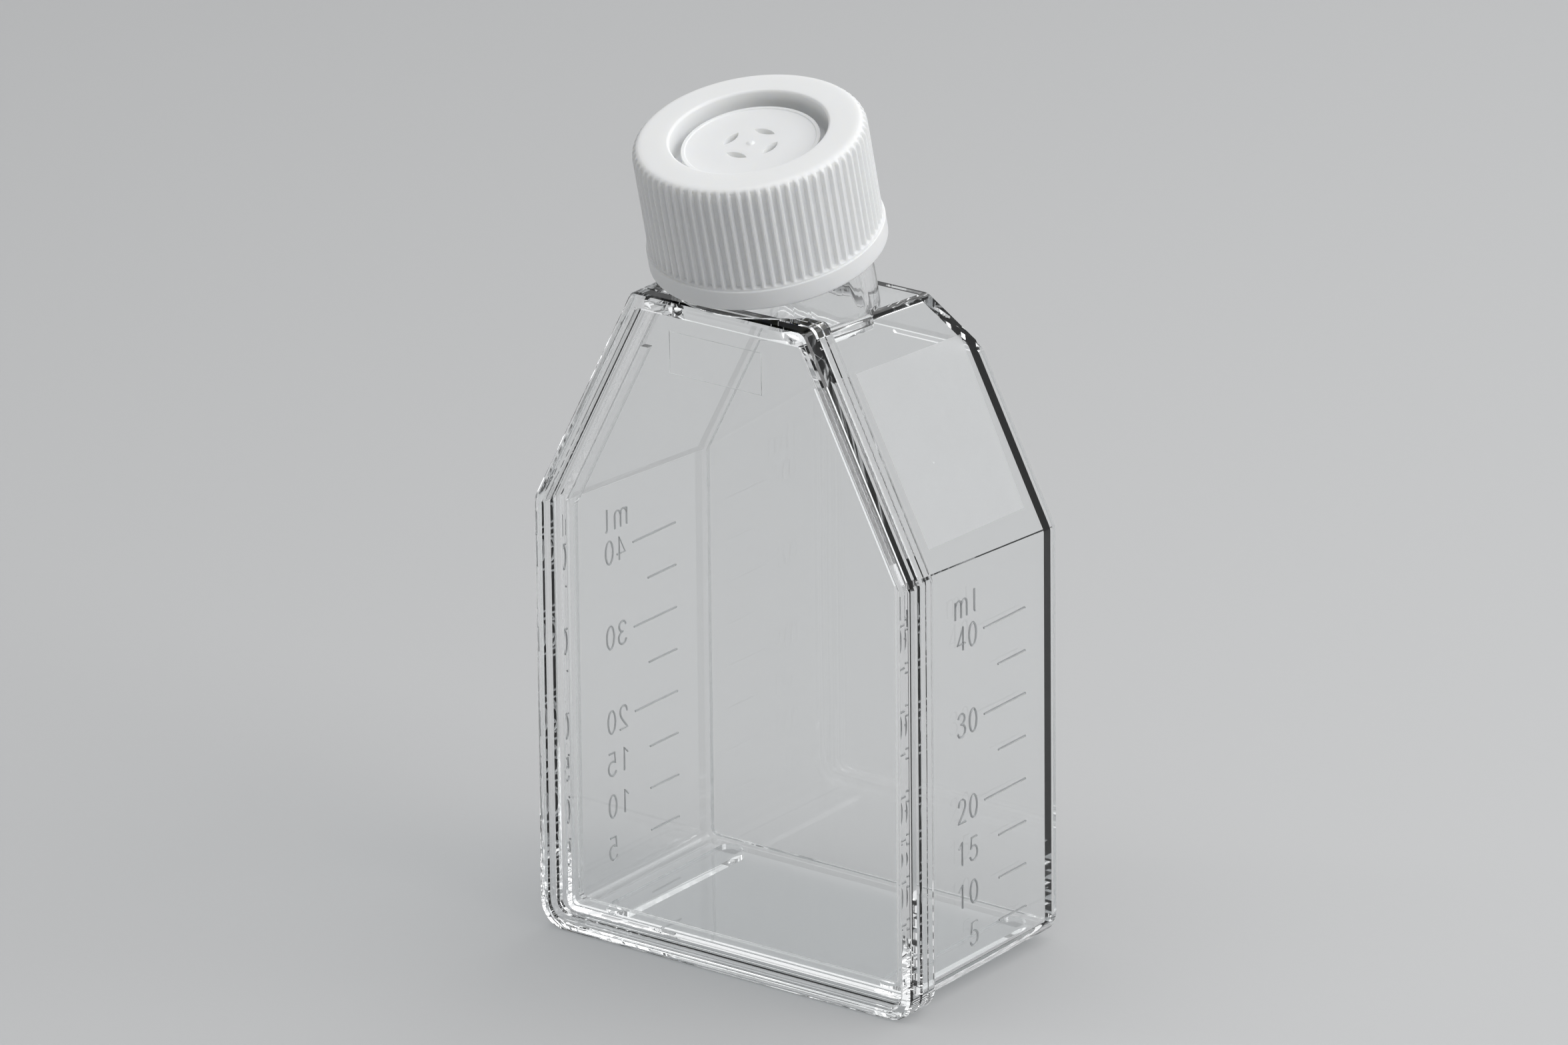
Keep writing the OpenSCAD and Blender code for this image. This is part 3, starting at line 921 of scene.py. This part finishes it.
@dataclass
class Vessel:
    """Clear vessel: tray and lid welded into one, with the neck's thread and the raised scales."""

    axis: NeckAxis
    clear: Material
    frosted: Material
    # Finish of the raised scales; its dark grey share is painted shade.
    painted_shade_finish: Material
    edge: float = 0.09 * MM
    neck_r: float = 10.45 * MM
    thread_at: float = -6.4 * MM
    patch: tuple[Point, ...] = ((7.2, 50.0), (24.4, 49.3), (25.4, 66.3), (7.0, 67.4))
    taper: Triple = (0.9, 0.0, 0.44)
    wall_cosine: float = 0.9999
    wall_reach: float = 0.01 * MM
    cut_reach: float = 0.0001 * MM

    def frost(self, mesh: Mesh) -> Mesh:
        """Cuts the writing patch out of the right tapered wall and gives it the second material.

        Args:
            mesh: The vessel's mesh.

        Returns:
            The same mesh.
        """
        face = WallFace.find(mesh, Vector(self.taper).normalized())
        corners = [face.at(along * MM, up * MM) for along, up in self.patch]
        middle = sum(corners, Vector()) / len(corners)
        sides = []
        for a, b in zip(corners, corners[1:] + corners[:1]):
            out = (b - a).cross(face.normal).normalized()
            sides.append((a, out if (middle - a).dot(out) < 0 else -out))

        def wall(work: Work) -> list[bmesh.types.BMFace]:
            """Returns the faces that lie in the wall's outer plane."""
            return [item for item in work.faces if item.normal.dot(face.normal) > self.wall_cosine
                    and abs((item.calc_center_median() - face.point).dot(face.normal)) < self.wall_reach]

        def cut(work: Work) -> None:
            """Cuts along the patch's sides and marks the faces inside them."""
            for a, out in sides:
                parts = dict.fromkeys(part for one in wall(work) for part in (one, *one.edges, *one.verts))
                bmesh.ops.bisect_plane(work, geom=[*parts], dist=self.cut_reach, plane_co=a, plane_no=out)
            for item in wall(work):
                if all((item.calc_center_median() - a).dot(out) < 0 for a, out in sides):
                    item.material_index = 1

        return edited(mesh, cut)

    def build(self) -> None:
        """Builds and dresses the vessel, its scales and the line on the lid."""
        shell = combined(node_copy(Node.TRAY), [node_copy(Node.LID)], Join.ADD)
        shell = softened(edited(shell, weld_points, drop_flat_edges), self.edge, sharp=20)
        thread = ScrewThread(self.neck_r, self.thread_at).mesh(self.clear)
        shell = combined(shell, [self.axis.place(thread)], Join.ADD)
        for wall in Wall:
            lines = Scale(wall).mesh(WallFace.find(shell, Vector((wall.value, 0, 0))), self.painted_shade_finish)
            name = f"raised_scale_{wall.name.lower()}"
            piece(name, shaded(lines, sharp=60), (self.painted_shade_finish,), Body.FLASK, Slot.CLEAR)
        mark = shaded(LidMark().mesh(self.clear), sharp=60)
        piece("lid_mark", mark, (self.clear,), Body.FLASK, Slot.CLEAR)
        shell = shaded(self.frost(shell), sharp=42)
        finishes = (self.clear, self.frosted)
        piece("culture_vessel", shell, finishes, Body.FLASK, Slot.CLEAR, Node.TRAY, Node.LID)


# --- Screw cap ---


@dataclass
class ScrewCap:
    """Vented screw cap: ribbed skirt, plain band, recessed disc with four vents, plug and thread.

    Its section is given in millimetres from the top face downwards.
    """

    axis: NeckAxis
    white: Material
    top_over_rim: float = 2.0
    outer_r: float = 12.246
    length: float = 14.0
    shoulder_r: float = 1.2
    band_r: float = 12.47
    band_h: float = 2.2
    ribs: int = 72
    flute: float = 0.38
    flute_span: Point = (-0.35, 0.95)
    flute_rise: float = 0.12
    flute_run: float = 0.28
    flute_round: float = 0.09
    bore_r: float = 11.2
    thread_at: float = -8.0
    top_t: float = 1.9
    plug_r: float = 9.05
    plug_wall: float = 0.8
    groove_depth: float = 3.2
    disc_r: float = 7.25
    disc_drop: float = 1.45
    disc_t: float = 1.0
    draft: float = 0.03
    lip: Point = (0.45, 0.12)
    lip_run: float = 0.06
    gate: Point = (0.45, 0.2)
    vent_count: int = 4
    vent_steps: int = 8
    vent_at: float = 2.5
    vent_size: Point = (2.6, 0.95)
    vent_draft: float = 0.3
    vent_past: float = 0.3
    columns: int = 720
    row_gap: float = 0.02
    skirt_rows: int = 9
    foot_rows: tuple[float, ...] = (0.9, 0.6, 0.45, 0.35, 0.27, 0.2, 0.14, 0.08)
    weld_reach: float = 0.0006

    def section(self) -> list[Triple]:
        """Draws the half section from the disc's middle over the top and back under the disc.

        Returns:
            Its points as (radius, height, grip), with grip 1 on the ribbed skirt.
        """
        lip_w, lip_h = self.lip
        gate_r, gate_h = self.gate
        disc_z, groove_z, band_z = -self.disc_drop, -self.groove_depth, self.band_h - self.length
        plug_z, under = groove_z - self.plug_wall, disc_z - self.disc_t
        groove_r, wall_r = self.plug_r - self.plug_wall, self.disc_r - self.plug_wall
        high = -self.shoulder_r - self.row_gap
        skirt = [high - (high - band_z) * i / self.skirt_rows for i in range(self.skirt_rows)]
        skirt += [band_z + rise for rise in self.foot_rows]
        # Corners as (radius, height, rounding), over the top and then under the foot.
        upper = [
            (0.0, disc_z + gate_h, 0.0), (gate_r * 0.5, disc_z + gate_h, 0.1), (gate_r, disc_z, 0.08),
            (self.disc_r - lip_w, disc_z, 0.1), (self.disc_r - lip_w + self.lip_run, disc_z + lip_h, 0.05),
            (self.disc_r, disc_z + lip_h, 0.1), (self.disc_r - self.draft, groove_z, 0.25),
            (groove_r - self.draft, groove_z, 0.25), (groove_r, 0.0, 0.35),
            (self.outer_r, 0.0, self.shoulder_r), (self.outer_r, skirt[-1], 0.0)]
        lower = [
            (self.outer_r, skirt[-1], 0.0), (self.outer_r, band_z, 0.0), (self.band_r, band_z, 0.18),
            (self.band_r, -self.length, 0.3), (self.bore_r, -self.length, 0.3),
            (self.bore_r, -self.top_t, 0.25), (self.plug_r, -self.top_t, 0.2), (self.plug_r, plug_z, 0.3),
            (wall_r, plug_z, 0.3), (wall_r, under, 0.15), (0.0, under, 0.0)]
        run = rounded(upper)[:-1] + [(self.outer_r, z) for z in skirt[:-1]] + rounded(lower)
        return [(r, z, float(r > self.bore_r and z > band_z)) for r, z in run]

    def lathe(self) -> Mesh:
        """Turns the section round the upright axis.

        Returns:
            Closed mesh that has the grip as an attribute.
        """
        first, *inner, end = self.section()
        n = self.columns
        turns = [math.tau * i / n for i in range(n)]
        points, grip = [(0.0, 0.0, first[1] * MM)], [0.0]
        for r, z, share in inner:
            points += [(r * MM * math.cos(turn), r * MM * math.sin(turn), z * MM) for turn in turns]
            grip += [share] * n
        points.append((0.0, 0.0, end[1] * MM))
        grip.append(0.0)
        last = len(points) - 1
        faces = [(0, 1 + i, 1 + (i + 1) % n) for i in range(n)]
        for a in range(1, last - n, n):
            faces += [(a + i, a + n + i, a + n + (i + 1) % n, a + (i + 1) % n) for i in range(n)]
        faces += [(last, last - n + (i + 1) % n, last - n + i) for i in range(n)]
        mesh = bpy.data.meshes.new("cap_lathe")
        mesh.from_pydata(points, [], faces)
        mesh.attributes.new("grip", "FLOAT", "POINT").data.foreach_set("value", grip)
        return edited(mesh, face_outwards)

    def fluted(self) -> Mesh:
        """Presses the flutes between the ribs into the turned cap.

        Returns:
            The ribbed cap on the upright axis.
        """
        tree = GeometryTree("cap_ribs", {
            "Ribs": self.ribs, "Flute Depth": self.flute * MM, "Outer Radius": self.outer_r * MM,
            "Foot": (self.band_h - self.length + self.flute_rise) * MM, "Foot Run": self.flute_run * MM,
            "Edge Rounding": self.flute_round * MM})
        spot = tree.out("GeometryNodeInputPosition")
        x, y, z = tree.add("ShaderNodeSeparateXYZ", {0: spot}).outputs
        turn = tree.math("ARCTAN2", y, x)
        wave = tree.math("COSINE", tree.math("MULTIPLY", turn, tree["Ribs"]))
        share = tree.spread(wave, self.flute_span, (1.0, 0.0), smooth=True)
        foot_top = tree.math("ADD", tree["Foot"], tree["Foot Run"])
        foot = tree.spread(z, (tree["Foot"], foot_top), (0.0, 1.0), smooth=True)
        cut = tree.math("MULTIPLY", tree.math("MULTIPLY", share, foot), tree["Flute Depth"])
        limit = tree.math("SUBTRACT", tree["Outer Radius"], cut)
        squares = tree.math("ADD", tree.math("MULTIPLY", x, x), tree.math("MULTIPLY", y, y))
        radius = tree.math("SQRT", squares)
        held = tree.math("SMOOTH_MIN", radius, limit, tree["Edge Rounding"])
        ratio = tree.math("DIVIDE", held, radius)
        pressed = tree.out("ShaderNodeCombineXYZ", {
            0: tree.math("MULTIPLY", x, ratio), 1: tree.math("MULTIPLY", y, ratio), 2: z})
        grip = tree.out("GeometryNodeInputNamedAttribute", {"Name": "grip"}, data_type="FLOAT")
        moved = tree.out("GeometryNodeSetPosition", {
            "Geometry": tree["Geometry"], "Position": pressed,
            "Selection": tree.math("GREATER_THAN", grip, 0.5)})
        return tree.mesh(moved, self.white, self.lathe())

    def vents(self) -> Mesh:
        """Builds the four lens-shaped cutters of the vents round the disc's middle.

        Returns:
            Closed cutters on the upright axis.
        """
        length, width = self.vent_size
        r = (length * length + width * width) / (4 * width)
        half = math.asin(length / 2 / r)
        turns = [half * step / self.vent_steps for step in range(-self.vent_steps, self.vent_steps + 1)]
        side = [(r * math.cos(turn) - r + width / 2, r * math.sin(turn)) for turn in turns]
        outline = side + [(-x, -y) for x, y in side[1:-1]]
        count, points = len(outline), []
        for z in (-self.disc_drop - self.disc_t - self.vent_past, self.vent_past):
            grow = 1 + self.vent_draft * (z + self.disc_drop)
            points += [(x * grow * MM, y * grow * MM, z * MM) for x, y in outline]
        faces = [tuple(range(count))[::-1], tuple(range(count, 2 * count))]
        faces += [(i, (i + 1) % count, count + (i + 1) % count, count + i) for i in range(count)]
        lens = bpy.data.meshes.new("vent_lens")
        lens.from_pydata(points, [], faces)
        tree = GeometryTree("vent_ring", {"Vents": self.vent_count, "Ring Radius": self.vent_at * MM})
        ring = tree.out("GeometryNodeMeshCircle", {
            "Vertices": tree["Vents"], "Radius": tree["Ring Radius"]})
        spot = tree.out("GeometryNodeInputPosition")
        facing = tree.out("FunctionNodeAlignRotationToVector", {"Vector": spot}, axis="X")
        placed = tree.out("GeometryNodeInstanceOnPoints", {
            "Points": ring, "Instance": tree["Geometry"], "Rotation": facing})
        return edited(tree.mesh(placed, self.white, lens), face_outwards)

    def build(self) -> None:
        """Builds and dresses the cap."""
        shell = combined(self.fluted(), [self.vents()], Join.CUT)
        shell.transform(Matrix.Translation((0, 0, self.top_over_rim * MM)))
        thread = ScrewThread(self.bore_r * MM, self.thread_at * MM, inward=True).mesh(self.white)
        fine = partial(weld_points, reach=self.weld_reach * MM)
        shell = edited(combined(shell, [thread], Join.ADD), fine, split_broad_faces)
        shell = shaded(self.axis.place(shell), sharp=50)
        piece("vent_cap", shell, (self.white,), Body.CAP, Slot.WHITE, Node.CAP)


def rounded(corners: Sequence[Triple], steps: int = 5) -> list[Point]:
    """Rounds the corners of an open outline, with at most half of each side.

    Args:
        corners: Place of each corner and the radius of its rounding; 0 leaves it sharp.
        steps: Straight pieces in each rounding.

    Returns:
        The points of the rounded outline.
    """
    run: list[Point] = []
    for i, (*point, radius) in enumerate(corners):
        if radius <= 0:
            run.append(tuple(point))
            continue
        corner = Vector(point)
        before, after = Vector(corners[i - 1][:2]) - corner, Vector(corners[i + 1][:2]) - corner
        half = before.angle(after) / 2
        reach = min(radius / math.tan(half), before.length * 0.49, after.length * 0.49)
        used = reach * math.tan(half)
        u, v = before.normalized(), after.normalized()
        centre = corner + (u + v).normalized() * used / math.sin(half)
        start, end = corner + u * reach - centre, corner + v * reach - centre
        turn = start.angle(end)
        for k in range(steps + 1):
            t = k / steps
            arm = (start * math.sin((1 - t) * turn) + end * math.sin(t * turn)) / math.sin(turn)
            run.append(tuple(centre + arm))
    return run


@dataclass
class FilterMembrane:
    """Filter disc under the cap's vents: the CAD node itself, dressed in place."""

    node: Node = Node.MEMBRANE

    def dress(self, film: Material) -> None:
        """Gives the disc its finish."""
        mesh = frame["nodes"][self.node.value].data
        mesh.materials.clear()
        mesh.materials.append(film)
        LOG.info("%s: %d faces, kept as packed", self.node.value, len(mesh.polygons))


# --- Studio ---


@dataclass
class Softbox:
    """Rectangular lamp aimed at the part."""

    name: str
    azimuth: float
    elevation: float
    distance: float
    size: Point
    power: float

    def place(self, target: Vector) -> None:
        """Puts the lamp in the scene.

        Args:
            target: Point that it faces.
        """
        lamp = bpy.data.lights.new(self.name, "AREA")
        lamp.shape, lamp.size, lamp.size_y = "RECTANGLE", *self.size
        lamp.energy = self.power
        item = scene_object(self.name, lamp)
        item.location = target + bearing(self.azimuth, self.elevation) * self.distance
        item.rotation_euler = (target - item.location).to_track_quat("-Z", "Y").to_euler()


def bearing(azimuth: float, elevation: float) -> Vector:
    """Returns the direction towards a place, from azimuth and elevation in degrees; 0 is the front."""
    a, e = math.radians(azimuth), math.radians(elevation)
    return Vector((math.sin(a) * math.cos(e), -math.cos(a) * math.cos(e), math.sin(e)))


@dataclass
class Studio:
    """Pale floor, soft lamps, plain world and camera."""

    azimuth: float = 36.8
    elevation: float = 20.5
    distance: float = 1.38
    roll: float = -0.6
    lens: float = 305.0
    sensor: float = 36.0
    far: float = 20.0
    floor_radius: float = 6.0
    floor_gap: float = 0.02 * MM
    room_heights: Point = (0.0, 0.8)
    room_levels: Point = (0.18, 0.16)
    white_level: float = 0.95
    white_in_gloss: float = 0.35
    softboxes: tuple[Softbox, ...] = (
        Softbox("key_softbox", 102, 38, 0.9, (0.7, 0.7), 5.0),
        Softbox("top_softbox", 0, 88, 0.9, (0.9, 0.9), 4.0),
        Softbox("side_strip", -60, 20, 0.9, (0.12, 0.9), 0.45),
        Softbox("back_softbox", 175, 35, 0.9, (0.9, 0.5), 1.6),
    )

    def floor(self) -> None:
        """Lays a round sheet of pale paper under the part."""
        disc = partial(bmesh.ops.create_circle, cap_ends=True, radius=self.floor_radius, segments=96)
        mesh = edited(bpy.data.meshes.new("studio_floor"), disc)
        mesh.materials.append(StudioPaper().material())
        item = scene_object("studio_floor", mesh)
        item.location.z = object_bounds()[0][2] - self.floor_gap
        item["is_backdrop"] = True

    def world(self) -> None:
        """Sets the even light of the room."""
        world = bpy.data.worlds.new("studio_world")
        world.use_nodes = True
        world.node_tree.nodes.clear()
        tree = ShaderTree(world.node_tree)
        way = tree.add("ShaderNodeTexCoord").outputs["Generated"]
        height = tree.add("ShaderNodeSeparateXYZ", {0: way}).outputs[2]
        level = tree.spread(height, self.room_heights, self.room_levels)
        room = tree.out("ShaderNodeBackground", {"Color": (0.97, 0.985, 1.0, 1), "Strength": level})
        white = tree.out("ShaderNodeBackground", {
            "Color": (0.98, 0.99, 1.0, 1), "Strength": self.white_level})
        rays = tree.add("ShaderNodeLightPath").outputs
        clear = tree.math("MAXIMUM", rays["Is Camera Ray"], rays["Is Transmission Ray"])
        gloss = tree.math("MULTIPLY", rays["Is Glossy Ray"], self.white_in_gloss)
        seen = tree.math("MAXIMUM", clear, gloss)
        shown = tree.out("ShaderNodeMixShader", {0: seen, 1: room, 2: white})
        tree.add("ShaderNodeOutputWorld", {"Surface": shown})
        bpy.context.scene.world = world

    def camera(self, target: Vector) -> None:
        """Places the camera and makes it the scene's own.

        Args:
            target: Point that it looks at.
        """
        data = bpy.data.cameras.new("camera")
        data.lens, data.sensor_width, data.clip_end = self.lens, self.sensor, self.far
        item = scene_object("camera", data)
        item.location = target + bearing(self.azimuth, self.elevation) * self.distance
        aim = (target - item.location).to_track_quat("-Z", "Y").to_matrix().to_4x4()
        roll = Matrix.Rotation(math.radians(self.roll), 4, "Z")
        item.matrix_world = Matrix.Translation(item.location) @ aim @ roll
        bpy.context.scene.camera = item

    def build(self) -> None:
        """Builds the whole studio round the part."""
        low, high = (Vector(corner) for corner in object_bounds())
        target = (low + high) / 2
        self.camera(target)
        self.floor()
        self.world()
        for softbox in self.softboxes:
            softbox.place(target)
        scene = bpy.context.scene
        scene.view_settings.view_transform = "Standard"
        scene.cycles.caustics_reflective = False
        scene.cycles.caustics_refractive = False
        scene.cycles.max_bounces, scene.cycles.transmission_bounces = 28, 24
        scene.cycles.glossy_bounces, scene.cycles.transparent_max_bounces = 16, 24
        LOG.info("studio: %d softboxes, camera %.0f mm", len(self.softboxes), self.lens)


def main() -> None:
    """Builds the dressed flask and its studio."""
    logging.basicConfig(level=logging.INFO, format="%(name)s %(message)s")
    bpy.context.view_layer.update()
    Studio().build()
    axis = NeckAxis.from_joint("cap_turn")
    # The raised scale is clear plastic; this finish's dark grey share is painted shade standing in for the
    # dark edges of its lines.
    painted_shade_finish = FrostedPolystyrene(name="painted_shade_polystyrene", haze_and_shade_share=0.3, milk_and_painted_shade=(0.26, 0.27, 0.28))
    clear, frosted = ClearPolystyrene().material(), FrostedPolystyrene().material()
    Vessel(axis, clear, frosted, painted_shade_finish.material()).build()
    ScrewCap(axis, WhitePolyethylene().material()).build()
    FilterMembrane().dress(FilterFilm().material())


if __name__ == "__main__":
    main()
